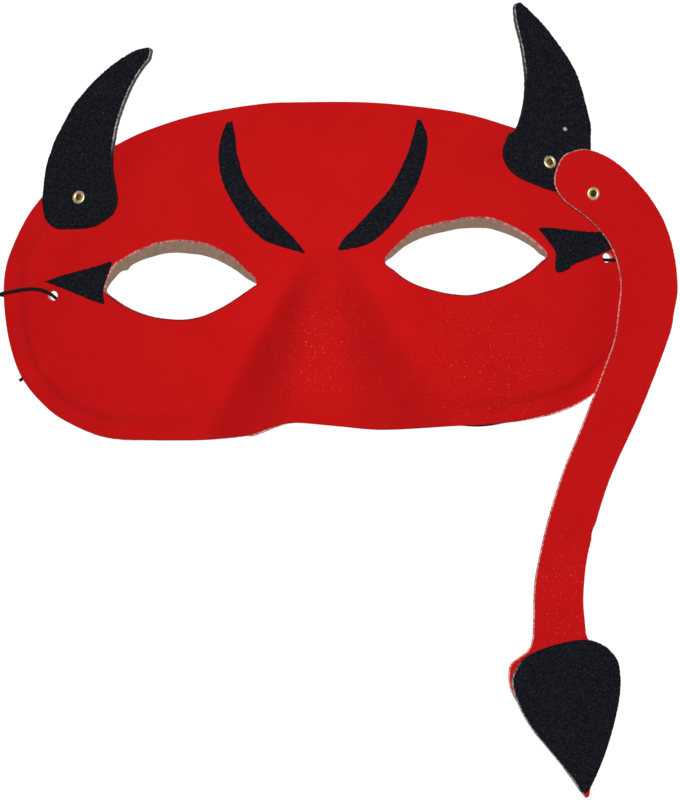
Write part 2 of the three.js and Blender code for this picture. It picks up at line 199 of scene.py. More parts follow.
def weave(tree, pitch):
    total = addNode(tree, "Math", operation="ADD")
    scale = math.pi / (10 * pitch)  # a wave texture repeats every pi / 10 at scale 1
    for i, direction in enumerate(("X", "Y")):
        wave = addNode(
            tree, "TexWave", bands_direction=direction, Scale=scale, Distortion=0.6, Detail=1.0,
        )
        tree.links.new(objectCoords(tree), wave.inputs["Vector"])
        tree.links.new(wave.outputs["Fac"], total.inputs[i])
    return total.outputs[0]


def finishMatt(tree, shader, colour, height, rough, specular, deep, strength):
    tree.links.new(colour, shader.inputs["Base Color"])
    shader.inputs["Roughness"].default_value = rough
    shader.inputs["Specular IOR Level"].default_value = specular
    bump = addNode(tree, "Bump", Strength=strength, Distance=deep)
    tree.links.new(height, bump.inputs["Height"])
    tree.links.new(bump.outputs["Normal"], shader.inputs["Normal"])


redCloth = {
    "colour": (0.575, 0.0072, 0.0078), "shade": (0.545, 0.0064, 0.007), "shadeLevels": (0.36, 0.6),
    "pitch": 0.00042, "threadTones": (0.93, 1.03), "threadLevels": (0.4, 1.0),
    "fleck": (0.74, 0.13, 0.12), "fleckLevels": (0.68, 0.79), "fewestFlecks": 0.05,
    # places with more painted glints, and how far they reach, in metres
    "glintSpots": [
        ((-0.0055, 0.0205, 0.04), 0.026), ((0.0397, 0.0099, 0.018), 0.03),
        ((0.052, -0.062, 0.008), 0.04),
    ],
    "finish": {"rough": 0.9, "specular": 0.04, "deep": 0.00003, "strength": 0.35},
}


def makeRedCloth():
    material, tree, shader = newMaterial("redCloth")
    patchy = noiseField(tree, scale=60, detail=3, rough=0.55)
    low, high = redCloth["shadeLevels"]
    colour = ramp(tree, patchy, [(low, redCloth["shade"]), (high, redCloth["colour"])])
    threads = weave(tree, redCloth["pitch"])
    tones = zip(redCloth["threadLevels"], redCloth["threadTones"])
    toned = ramp(tree, threads, [(level, (tone, tone, tone)) for level, tone in tones])
    colour = mixed(tree, 1.0, colour, toned, "MULTIPLY")
    # the pale flecks are painted glints of the cloth's glitter threads
    flecks = fade(tree, noiseField(tree, scale=2100, detail=1, rough=0.4), *redCloth["fleckLevels"])
    glintDensity = nearAny(tree, redCloth["glintSpots"], redCloth["fewestFlecks"])
    colour = mixed(tree, joined(tree, "MULTIPLY", flecks, glintDensity), colour, redCloth["fleck"])
    finishMatt(tree, shader, colour, threads, **redCloth["finish"])
    return material


blackCloth = {
    "colour": (0.0052, 0.0056, 0.0078), "fluff": (0.0175, 0.0195, 0.0265), "fluffLevels": (0.4, 0.7),
    "pitch": 0.00055,
    "fleck": (0.13, 0.15, 0.19), "fleckLevels": (0.7, 0.8),
    # a bit of lint on the right horn: place and reach in metres
    "lintPlace": (0.0676, 0.0773, 0.0095), "lintReach": 0.0009,
    "lint": (0.45, 0.47, 0.5), "lintLevels": (0.2, 0.6),
    "finish": {"rough": 0.95, "specular": 0.03, "deep": 0.00004, "strength": 0.5},
}


def makeBlackCloth():
    material, tree, shader = newMaterial("blackCloth")
    shadeSpots = noiseField(tree, scale=1700, detail=3, rough=0.6)
    low, high = blackCloth["fluffLevels"]
    colour = ramp(tree, shadeSpots, [(low, blackCloth["colour"]), (high, blackCloth["fluff"])])
    flecks = fade(tree, noiseField(tree, scale=2300, detail=2, rough=0.5), *blackCloth["fleckLevels"])
    colour = mixed(tree, flecks, colour, blackCloth["fleck"])
    near = nearSpot(tree, blackCloth["lintPlace"], blackCloth["lintReach"])
    colour = mixed(tree, fade(tree, near, *blackCloth["lintLevels"]), colour, blackCloth["lint"])
    threads = weave(tree, blackCloth["pitch"])
    finishMatt(tree, shader, colour, threads, **blackCloth["finish"])
    return material


cutEdge = {
    "fibreLevels": (0.38, 0.58),
    # painted shade: the edge is darkened at the foot of each horn and at the top of the spade
    "fluff": (0.014, 0.013, 0.016), "fluffLevels": (0.08, 0.3),
    "shadeSpots": [
        ((-0.0719, 0.0668, 0.0135), 0.021), ((0.0615, 0.0674, 0.0135), 0.036),
        ((0.0626, -0.0655, 0.0055), 0.03),
    ],
    "finish": {"rough": 0.95, "specular": 0.1, "deep": 0.00006, "strength": 0.5},
}


def makeCutEdge(name, colour, streak, scale, paintShade=False):
    material, tree, shader = newMaterial(name)
    fibre = noiseField(tree, scale, detail=3, rough=0.6)
    low, high = cutEdge["fibreLevels"]
    shown = ramp(tree, fibre, [(low, streak), (high, colour)])
    if paintShade:
        # painted shade at the horns' feet and the spade's top
        near = fade(tree, nearAny(tree, cutEdge["shadeSpots"]), *cutEdge["fluffLevels"])
        shown = mixed(tree, near, shown, cutEdge["fluff"])
    finishMatt(tree, shader, shown, fibre, **cutEdge["finish"])
    return material


def makeBrass(name, dull, bright, smoothest, roughest):
    material, tree, shader = newMaterial(name)
    wear = noiseField(tree, scale=900, detail=3, rough=0.5)
    tree.links.new(ramp(tree, wear, [(0.3, dull), (0.7, bright)]), shader.inputs["Base Color"])
    shader.inputs["Metallic"].default_value = 1.0
    rough = addNode(tree, "MapRange")
    rough.inputs["To Min"].default_value = smoothest
    rough.inputs["To Max"].default_value = roughest
    tree.links.new(wear, rough.inputs["Value"])
    tree.links.new(rough.outputs["Result"], shader.inputs["Roughness"])
    return material


braid = {
    "turns": (0.7, -0.7), "bands": 1.4, "pitch": 0.75, "around": 3,
    "dark": (0.005, 0.0025, 0.003), "pale": (0.016, 0.011, 0.012), "levels": (0.2, 0.9),
    "finish": {"rough": 0.8, "specular": 0.1, "deep": 0.00005, "strength": 0.8},
}


def makeBraid():
    material, tree, shader = newMaterial("elasticBraid")
    uv = addNode(tree, "TexCoord").outputs["UV"]
    total = addNode(tree, "Math", operation="ADD")
    for i, turn in enumerate(braid["turns"]):
        slanted = addNode(tree, "Mapping")
        slanted.inputs["Rotation"].default_value = (0, 0, turn)
        tree.links.new(uv, slanted.inputs["Vector"])
        wave = addNode(tree, "TexWave", bands_direction="X", Scale=braid["bands"])
        tree.links.new(slanted.outputs["Vector"], wave.inputs["Vector"])
        tree.links.new(wave.outputs["Fac"], total.inputs[i])
    low, high = braid["levels"]
    colour = ramp(tree, total.outputs[0], [(low, braid["dark"]), (high, braid["pale"])])
    finishMatt(tree, shader, colour, total.outputs[0], **braid["finish"])
    return material


# cut edges: colour, streaks in it, and how fine their fibres are
materials = {
    "red": makeRedCloth(),
    "black": makeBlackCloth(),
    "cut": makeCutEdge("cutEdge", (0.85, 0.42, 0.4), (0.5, 0.07, 0.07), 1300),
    # painted shade: a dark maroon edge along the lower eye rims
    "edgeShade": makeCutEdge("paintedEdgeShade", (0.13, 0.008, 0.012), (0.3, 0.01, 0.012), 1300),
    "lining": makeCutEdge("lining", (0.27, 0.178, 0.13), (0.235, 0.15, 0.108), 900),
    "core": makeCutEdge("hornCore", (0.5, 0.49, 0.5), (0.12, 0.11, 0.115), 1100, paintShade=True),
    "underside": makeCutEdge(
        "hornUnderside", (0.105, 0.093, 0.082), (0.05, 0.04, 0.036), 1600, paintShade=True,
    ),
    "brass": makeBrass("brass", (0.85, 0.64, 0.3), (1.0, 0.88, 0.58), 0.42, 0.6),
    # painted shade: darker brass inside the eyelets' bores
    "boreShade": makeBrass("boreBrass", (0.24, 0.15, 0.03), (0.42, 0.29, 0.075), 0.5, 0.7),
    "braid": makeBraid(),
}
print("materials are made")


# pieces

def addPiece(mesh, name, slots, body, replaced, sharp=38):
    layers = [0] * len(mesh.polygons)
    mesh.polygons.foreach_get("material_index", layers)
    mesh.materials.clear()
    for slot in slots:
        mesh.materials.append(materials[slot])
    mesh.polygons.foreach_set("material_index", layers)
    mesh.polygons.foreach_set("use_smooth", [True] * len(mesh.polygons))
    mesh.set_sharp_from_angle(angle=math.radians(sharp))
    piece = bpy.data.objects.new(name, mesh)
    bpy.context.scene.collection.objects.link(piece)
    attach(piece, body)
    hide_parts(*replaced)
    return piece


def meshFrom(bm, name):
    mesh = bpy.data.meshes.new(name)
    bm.to_mesh(mesh)
    bm.free()
    return mesh


def bareObject(mesh, slots):
    for slot in slots:
        mesh.materials.append(materials[slot])
    made = bpy.data.objects.new(mesh.name, mesh)
    bpy.context.scene.collection.objects.link(made)
    return made


def evaluated(made):
    bpy.context.view_layer.update()
    graph = bpy.context.evaluated_depsgraph_get()
    return bpy.data.meshes.new_from_object(made.evaluated_get(graph))


# cords

elastic = {
    "route": [
        (-76.7, -3, 8.4), (-77.45, -2.35, 9.7), (-78.05, -1.75, 10.85), (-78.95, -1.05, 11.35),
        (-80.8, -0.1, 10.7), (-84, 0.55, 9.1), (-88.2, 0.4, 7), (-91.2, 0.05, 5.2),
        (-92.7, -0.15, 3.95), (-93.3, -0.4, 2.35), (-92.75, -0.6, 1.15), (-91.2, -0.6, 0.58),
        (-87.5, 0.5, 0.58), (-82, 5.5, 0.58), (-75.5, 8.5, 0.58), (-70.6, 4.5, 0.58), (-69, -5, 0.58),
        (-65.5, -16, 0.58), (-57, -27, 0.58), (-42, -34.5, 0.58), (-22, -38.3, 0.58),
        (0, -39.5, 0.58), (22, -43.6, 0.58), (43, -47.5, 0.58), (57, -44.6, 0.58), (70, -35.5, 0.58),
        (79, -22.5, 0.58), (82, -10, 0.58), (85.2, -4.6, 0.58), (91.5, -3.1, 0.58), (92.9, -3, 1.25),
        (93.4, -3, 2.5), (92.9, -3, 3.75), (91.5, -3, 4.85), (87.6, -2.95, 6.5), (84.6, -2.9, 7.95),
        (83.2, -2.85, 8.7), (82.2, -2.8, 8.75), (81.45, -2.7, 7.95), (80.6, -2.6, 7),
    ],
    "freeEnd": [
        (-75.75, -4.1, 5.95), (-75.8, -4.6, 3.6), (-76, -5.8, 1.5), (-75.9, -7.8, 0.62),
        (-75.7, -10.5, 0.58), (-76.7, -14.2, 0.58), (-79.9, -18.2, 0.58), (-84.4, -21.8, 0.58),
        (-89.5, -25.6, 0.58),
    ],
    "length": 0.28, "freeLength": 0.031,  # metres, the rest is in mm
    "diameter": 0.96, "perSpan": 24, "step": 0.4,
}
knots = {
    "places": {"left": (-75.75, -3.9, 7.5), "right": (79.3, -2.45, 5.8)},
    "reach": 1.02, "rise": 0.6, "cord": 0.44, "count": 90,
}


def tubeMesh(line, radius, name, closed=False):
    curve = bpy.data.curves.new(name, "CURVE")
    curve.dimensions = "3D"
    curve.bevel_depth = radius
    curve.bevel_resolution = 4
    curve.use_fill_caps = not closed
    spline = curve.splines.new("POLY")
    spline.points.add(len(line) - 1)
    for point, p in zip(spline.points, line):
        point.co = (*p, 1)
    spline.use_cyclic_u = closed
    made = bpy.data.objects.new(name, curve)
    bpy.context.scene.collection.objects.link(made)
    mesh = evaluated(made)
    bpy.data.objects.remove(made)
    for loop in mesh.uv_layers[0].data:
        along = loop.uv[0] * len(line) * elastic["step"] / braid["pitch"]
        loop.uv = (along, loop.uv[1] * braid["around"])
    return mesh


def makeKnot(side):
    name = "knot_" + side
    middle, reach = Vector(knots["places"][side]), knots["reach"] / 3
    line = []
    for i in range(knots["count"]):
        t = i / knots["count"] * 2 * math.pi  # a trefoil
        x, y = math.sin(t) + 2 * math.sin(2 * t), math.cos(t) - 2 * math.cos(2 * t)
        z = -math.sin(3 * t) * knots["rise"]
        line.append(inFrame(middle + Vector((x * reach, y * reach, z))))
    mesh = tubeMesh(line, knots["cord"] * mm, name, closed=True)
    return addPiece(mesh, name, ["braid"], "mask", ["elastic_knot_" + side])


def makeCord(name, route, replaced):
    line = [inFrame(p) for p in throughPoints(route, elastic["perSpan"], power=0.5)]
    line = evenly(line, elastic["step"] * mm)
    run = sum((b - a).length for a, b in zip(line, line[1:]))
    print(name, "runs", round(run, 4), "m")
    mesh = tubeMesh(line, elastic["diameter"] / 2 * mm, name)
    piece = addPiece(mesh, name, ["braid"], "mask", [replaced])


bothKnots = [makeKnot("left"), makeKnot("right")]
makeCord("elastic_run", elastic["route"], "elastic")
makeCord("elastic_tail", elastic["freeEnd"], "elastic_end")
print("elastic is laid")


# the form that the blank is pressed to, in mm from the point between the eyes

form = {
    "halfWidth": 92.3, "wall": 1.3,
    "domeLength": 128, "domeHeight": 112, "domeDepth": 92, "domeCentreY": -5,
    "edgeHeight": 0.35, "flange": 4.4, "crease": 2.6, "drop": 1.3,
    "noseRootX": 1.25, "noseRootY": 7, "noseLength": 53, "noseDepth": 23.5, "noseRise": 1.3,
    "noseHalfWidth": 6, "noseSpread": 36, "noseFlat": 0.1, "noseLean": -5.5,
    "leftFoot": (0.88, 1.15),  # how narrow the nose's left flank is, and how sharp
    # the rim lifts where the elastic passes under it
    "liftHeight": 2.55, "liftReach": (5.5, 5.2), "liftPlaces": [(-93, -0.4), (-89.5, -25.2), (93, -3)],
    # the nose and the brow have no crease, only a gentle fall
    "softNoseX": -3, "softNoseReach": 36, "softNoseFrom": (0, -20),
    "softBrow": 0.75, "softBrowFrom": (18, 34), "softCrease": 9,
    "wave": (0.1, 16, 0.0), "waveFrom": (0, 12),  # depth, length and layer, and where it sets in
}


def waveAt(x, y, depth, length, layer):
    return depth * noise.noise((x / length, y / length, layer))


def domeLevel(x, y):
    across, along = x / form["domeLength"], (y - form["domeCentreY"]) / form["domeHeight"]
    return form["domeDepth"] * math.sqrt(max(0.0, 1 - across**2 - along**2))


def panelHeight(x, y):
    down = max(0.0, min(1.0, (form["noseRootY"] - y) / form["noseLength"]))
    off = x - form["noseRootX"] - form["noseLean"] * down
    narrow, sharp = form["leftFoot"] if off < 0 else (1, 1)
    spread = abs(off) / (form["noseHalfWidth"] + form["noseSpread"] * down) / narrow
    flank = max(0.0, min(1.0, (spread - form["noseFlat"]) / (1 - form["noseFlat"])))
    rise = math.sin(math.pi / 2 * down)**form["noseRise"]
    nose = form["noseDepth"] * rise * 0.5 * (1 + math.cos(math.pi * flank**sharp))
    rx, ry = form["liftReach"]
    lift = sum(math.exp(-((x - cx) / rx)**2 - ((y - cy) / ry)**2) for cx, cy in form["liftPlaces"])
    dome = domeLevel(x, y) - domeLevel(form["halfWidth"], form["domeCentreY"])
    return dome + form["edgeHeight"] + form["drop"] + nose + form["liftHeight"] * lift


def panelNormal(x, y, step=0.05):
    slopeX = (panelHeight(x + step, y) - panelHeight(x - step, y)) / (2 * step)
    slopeY = (panelHeight(x, y + step) - panelHeight(x, y - step)) / (2 * step)
    return Vector((-slopeX, -slopeY, 1)).normalized()


# cut card: a slab of sheet with the outline and holes cut while it is flat

def circle(x, y, radius, count=48):
    turns = [i * (2 * math.pi / count) for i in range(count)]
    return [Vector((x + radius * math.cos(t), y + radius * math.sin(t))) for t in turns]


def ringEdges(bm, loop, z):
    ring = [bm.verts.new((p.x, p.y, z)) for p in loop]
    return [bm.edges.new((a, b)) for a, b in zip(ring, ring[1:] + ring[:1])]


def inwardsOf(loop):
    count = len(loop)
    area = sum(a.x * b.y - b.x * a.y for a, b in zip(loop, loop[1:] + loop[:1]))
    turn = 1 if area > 0 else -1
    inwards = []
    for i in range(count):
        along = loop[(i + 1) % count] - loop[i - 1]
        inwards.append(Vector((-along.y, along.x)).normalized() * turn)
    return inwards


def nicked(outline, nicks):
    moved = []
    for p in outline:
        for (x, y), reach, (dx, dy) in nicks:
            share = max(0.0, 1 - (p - Vector((x, y))).length_squared / reach**2)
            p = p + Vector((dx, dy)) * share
        moved.append(p)
    return moved


# coarse and fine ruffles of a cut edge: share, waves to a mm, and how they differ from level to level
ruffles = [(1, 2.1, 7.3), (0.6, 5, 3.1)]


def ruffleAt(p, k):
    return sum(share * noise.noise((p.x * fine, p.y * fine, k * apart)) for share, fine, apart in ruffles)


def cutterMesh(loop, levels, name, endLayer=0):
    # levels: height, how far in from the outline, how ragged, and the layer above it
    inwards = inwardsOf(loop)
    bm = bmesh.new()
    rings = []
    for k, (z, inset, ragged, _) in enumerate(levels):
        row = [p + n * (inset + ragged * ruffleAt(p, k)) for p, n in zip(loop, inwards)]
        rings.append(ringEdges(bm, row, z))
    for (*_, layer), below, above in zip(levels, rings, rings[1:]):
        for face in bmesh.ops.bridge_loops(bm, edges=below + above)["faces"]:
            face.material_index = layer
    for ring in (rings[0], rings[-1]):
        for face in bmesh.ops.contextual_create(bm, geom=ring)["faces"]:
            face.material_index = endLayer
    bmesh.ops.recalc_face_normals(bm, faces=bm.faces)
    return meshFrom(bm, name)


def cutAway(blank, tools):
    # tools: a closed mesh's object, and what it does to the blank
    for tool, operation in tools:
        cut = blank.modifiers.new("cut", "BOOLEAN")
        cut.operation, cut.solver, cut.object = operation, "EXACT", tool
    mesh = evaluated(blank)
    for made in [blank] + [tool for tool, _ in tools]:
        bpy.data.objects.remove(made)
    return mesh


def cutSheet(name, outline, thickness, levels, holes, cell, slots, spare=1, through=5):
    # layer 0 is the front and 1 the back of the sheet
    bm = bmesh.new()
    low = Vector((min(p.x for p in outline) - spare, min(p.y for p in outline) - spare))
    high = Vector((max(p.x for p in outline) + spare, max(p.y for p in outline) + spare))
    size, middle = high - low, (low + high) / 2
    place = Matrix.Translation((middle.x, middle.y, 0)) @ Matrix.Diagonal((size.x, size.y, 1, 1))
    across, along = round(size.x / cell), round(size.y / cell)
    bmesh.ops.create_grid(bm, x_segments=across, y_segments=along, size=0.5, matrix=place)
    whole = bm.faces[:] + bm.edges[:]
    grown = bmesh.ops.extrude_face_region(bm, geom=whole, use_keep_orig=True)["geom"]
    top = [g for g in grown if isinstance(g, bmesh.types.BMVert)]
    bmesh.ops.translate(bm, vec=(0, 0, thickness), verts=top)
    bmesh.ops.recalc_face_normals(bm, faces=bm.faces)
    for face in bm.faces:
        face.material_index = 1 if face.normal.z < -0.5 else 0
    sheet = bareObject(meshFrom(bm, name), slots)
    tools = [(bareObject(cutterMesh(outline, levels, "outlineCutter"), slots), "INTERSECT")]
    for hole in holes:
        plain = [(-through, 0, 0, 2), (thickness + through, 0, 0, 2)]
        tools.append((bareObject(cutterMesh(hole, plain, "holeCutter"), slots), "DIFFERENCE"))
    return cutAway(sheet, tools)


def bend(mesh, shape, tiny=0.0005):
    bm = bmesh.new()
    bm.from_mesh(mesh)
    bmesh.ops.remove_doubles(bm, verts=bm.verts, dist=tiny)
    bmesh.ops.dissolve_degenerate(bm, edges=bm.edges, dist=tiny)
    for vert in bm.verts:
        vert.co = inFrame(shape(vert.co))
    bm.to_mesh(mesh)
    bm.free()
    return mesh


# eyelets and the cards that turn on them

eyelets = {
    "places": {"left": (-67.4, 25.1), "right": (66, 25.7), "tail": (78.2, 16.6)},
    "nodes": {"left": "eyelet_horn_left", "right": "eyelet_horn_right", "tail": "eyelet_tail"},
    "tailHeight": 13.44, "tailNormal": (0.4, -0.1, 1),
    # where the front flange and the rolled rear rim sit on the eyelet's axis
    "levels": {"left": (2.2, -1.7), "right": (2.2, -2.15), "tail": (1.3, -7.1)},
    "flange": 1.93, "barrel": 1.3, "bore": 0.95, "rim": 0.5,
    "seat": 0.05, "tuck": 0.02, "side": 0.12, "rolled": 0.3, "play": 0.15,
    "holeRadius": 1.75, "holeRagged": 0.03, "arc": 10, "around": 48,
    # the rolled rear rim: from which radius, how far out of it, and level above the foot
    "rearRim": [
        ("bore", 0, 0.3), ("bore", 0.08, 0), ("bore", 0.3, -0.24), ("flange", -0.15, -0.3),
        ("flange", 0, -0.2), ("flange", -0.15, -0.06), ("barrel", 0.1, 0), ("barrel", 0, 0.1),
    ],
    "boreShadeReach": (0.12, 0.25),  # how far past the bore, and above the seat, the painted shade inside goes
}


def cardPose(side):
    x, y = eyelets["places"][side]
    tail = side == "tail"
    height = eyelets["tailHeight"] if tail else panelHeight(x, y)
    normal = Vector(eyelets["tailNormal"]).normalized() if tail else panelNormal(x, y)
    right = Vector((1 - normal.x**2, -normal.x * normal.y, -normal.x * normal.z)).normalized()
    up = normal.cross(right)
    return Matrix.Translation((x, y, height)) @ Matrix((right, up, normal)).transposed().to_4x4()


def throughShell(side, steps=6, slope=1.1):
    # steps down the eyelet's axis to where it meets the shell
    pose = cardPose(side)
    depth = 0.0
    for _ in range(steps):
        p = pose @ Vector((0, 0, -depth))
        depth += (p.z - panelHeight(p.x, p.y)) / slope
    return p.x, p.y


# the pressed shell

shell = {
    "outline": [
        (92.4, -8), (91.9, 4), (88.4, 14.5), (80.5, 24.5), (69.5, 32.2), (56.4, 37.6), (43.5, 42.2),
        (27.3, 45.5), (13.6, 47.4), (-4.1, 48.6), (-13.2, 48.9), (-25.1, 48.1), (-36.1, 46.6),
        (-48.4, 43.5), (-57.1, 40.1), (-66, 36.2), (-73.6, 32), (-82.6, 23.5), (-88.6, 14),
        (-91.8, 5.7), (-92.6, -5.8), (-91.6, -16), (-89, -24.5), (-84.6, -31.4), (-77.9, -37.7),
        (-66.2, -43.5), (-52, -45.4), (-36.5, -46.4), (-24.9, -45.6), (-17.5, -43.8), (-11, -43.2),
        (2, -45.2), (14.7, -47), (34.8, -47.4), (45, -47.6), (55.4, -46.9), (67.2, -44.4),
        (77, -39.6), (85.5, -31.5), (90.6, -20.5),
    ],
    "eyes": [
        {
            "cut": [
                (-63, -1.7), (-62.7, 0.4), (-61.8, 2.8), (-60.4, 4.9), (-58.7, 6.5), (-57, 7.1),
                (-55.5, 7.9), (-53.6, 9), (-50.6, 9.9), (-47.7, 10.9), (-44.4, 11.3), (-40.8, 11.4),
                (-37.3, 10.9), (-32.8, 9.8), (-28.6, 7.6), (-25.1, 5), (-22.2, 1.8), (-19.2, -2),
                (-23.5, -4.9), (-31.8, -9.2), (-41, -11), (-50.3, -9.3), (-59.6, -4),
            ],
            "clear": [
                (-62.6, -1.7), (-61.5, 0.3), (-59.9, 2), (-58, 3.6), (-56.1, 4), (-55, 5.1),
                (-52, 6.4), (-49.1, 7.1), (-45.3, 7.8), (-41.5, 7.8), (-37.6, 7.2), (-33.9, 6.4),
                (-29.7, 4.6), (-24.8, 1.4), (-21.8, -1.2), (-20, -2.4), (-19.2, -2.9), (-20, -3.4),
                (-23.2, -5.3), (-27.4, -7.7), (-31.8, -9.7), (-35.9, -11), (-40.9, -11.5),
                (-46, -10.9), (-50.5, -9.8), (-55.8, -7.4), (-60, -4.4),
            ],
        },
        {
            "cut": [
                (17.7, 1.3), (19.3, 3.7), (22.9, 6.7), (26.4, 9.2), (29.3, 10.3), (31.9, 10.6),
                (34.5, 11.3), (37.8, 11.4), (40.3, 12), (44.1, 12), (48.4, 11.6), (51.7, 10.4),
                (54.9, 8.7), (58.4, 6.4), (61.6, 3.7), (64, 0.9), (64.3, -0.4), (59.6, -3.9),
                (51, -8), (41.8, -9.7), (32.5, -8), (23.2, -3.7),
            ],
            "clear": [
                (17.9, 0.6), (20.2, 2.3), (23.6, 4.8), (27.5, 6.6), (31.7, 7.8), (36.1, 8.5),
                (39.6, 9), (43.9, 9), (48.2, 8.6), (51.5, 7.5), (54.9, 6), (57.7, 4.4), (60.7, 2.3),
                (62.6, 0.3), (64.2, -1), (63.1, -1.8), (59.9, -4.3), (56.3, -6.3), (51, -8.4),
                (46.3, -9.5), (41.8, -10.2), (37.1, -9.7), (32.3, -8.5), (26.7, -6.4), (22.9, -4.1),
                (20.4, -1.8),
            ],
        },
    ],
    # levels run from 0, the back, to 1, the front, and the cutters go past both
    "below": -1, "above": 2, "aboveEye": 1.4,
    "lip": 0.5, "underLip": 0.1, "shadeFrom": 0.7,  # the lining's mm, how far below it the cut edge begins, and the level where the painted shade along the lower eye rims begins
    # how far the two cuts of an eye slant, which way an upper rim faces, and how rough the slant is
    "slant": (0.4, 0.3), "slantUpper": (0.15, -0.55), "slantWave": (0.9, 1.6, 2.0),
    "slantWithin": 0.12, "sameLevel": 0.01,
    "cordHoles": [(-77.9, -1.9), (81.7, -2.1)], "holeRadius": 1.43, "holeRagged": 0.04,
    "spine": 0.66, "perSpan": 10, "finePerSpan": 40, "eyePerSpan": 14, "rings": 28,
    "insets": [0, 0.06, 0.15, 0.3, 0.5, 1.0, 2, 3.1, 4.4, 5.1, 5.7, 6.3, 7],
    "backInsets": [7, 4.4, 2, 0.6],
    "edgeRadius": 0.55,
    # the cut edge from the back up: share of how far the lining stands out, level, layer above it
    "edge": [(0.85, 0, 1), (1, 0.12, 1), (0.95, 0.3, 2), (0.1, 0.42, 2)],
    "fray": (0.08, 1.7, 20),  # how far, how fine, and how it differs from level to level
    # how far the lining stands out everywhere, and the places, reaches and sizes of what is added
    "liningLeast": 0.05,
    "liningOut": [((66, -44), 15, 0.75), ((-62, -44), 17, 0.32), ((-22, -45), 7, 0.4)],
}


def liningOut(p):
    more = 0
    for spot, reach, out in shell["liningOut"]:
        more += out * math.exp(-(p - Vector(spot)).length_squared / reach**2)
    return shell["liningLeast"] + more


def frayAt(p, level):
    out, fine, apart = shell["fray"]
    return out * noise.noise((p.x * fine, p.y * fine, level * apart)) * (level > 0)


def makeBlank():
    # rows of points run from the middle of the back over the rim to the middle of the front
    rim = throughPoints(shell["outline"], shell["perSpan"], closed=True)
    inwards = inwardsOf(rim)
    radius = shell["edgeRadius"]
    inner = [p + n * shell["insets"][-1] for p, n in zip(rim, inwards)]
    domed = []
    for k in range(1, shell["rings"] + 1):
        row = []
        for i, p in enumerate(inner):
            middle = Vector(((p.x + inner[-i].x) / 2 * shell["spine"], form["domeCentreY"]))
            row.append(p.lerp(middle, k / shell["rings"]))
        domed.append(row)
    rows = [(row, 0, 1) for row in domed[::-1]]
    rows += [([p + n * inset for p, n in zip(rim, inwards)], 0, 1) for inset in shell["backInsets"]]
    for share, level, layer in shell["edge"]:
        row = [p - n * (share * liningOut(p) + frayAt(p, level)) for p, n in zip(rim, inwards)]
        rows.append((row, level, layer))
    for inset in shell["insets"]:
        drop = radius - math.sqrt(radius**2 - max(0.0, radius - inset)**2)
        rows.append(([p + n * inset for p, n in zip(rim, inwards)], 1 - drop / form["wall"], 0))
    rows += [(row, 1, 0) for row in domed]
    bm = bmesh.new()
    rings = [[bm.verts.new((p.x, p.y, level)) for p in row] for row, level, _ in rows]
    for (_, _, layer), a, b in zip(rows, rings, rings[1:]):
        for i in range(len(a)):
            bm.faces.new((a[i - 1], a[i], b[i], b[i - 1])).material_index = layer
    bmesh.ops.remove_doubles(bm, verts=bm.verts, dist=0.02)
    bmesh.ops.recalc_face_normals(bm, faces=bm.faces)
    return meshFrom(bm, "blank")


def nearestIn(line):
    tree = KDTree(len(line))
    for i, p in enumerate(line):
        tree.insert((p.x, p.y, 0), i)
    tree.balance()
    return tree


def softness(x, y):
    alongNose = math.exp(-((x - form["softNoseX"]) / form["softNoseReach"])**2)
    onNose = alongNose * smoothStep(*form["softNoseFrom"], y)
    return max(onNose, form["softBrow"] * smoothStep(*form["softBrowFrom"], y))


def pressed(x, y, inset):
    soft = softness(x, y)
    inner = form["flange"] + form["crease"] + form["softCrease"] * soft
    dropped = form["drop"] * (1 - smoothStep(form["flange"] * (1 - soft), inner, inset))
    wave = waveAt(x, y, *form["wave"]) * smoothStep(*form["waveFrom"], inset)
    return panelHeight(x, y) - dropped + wave


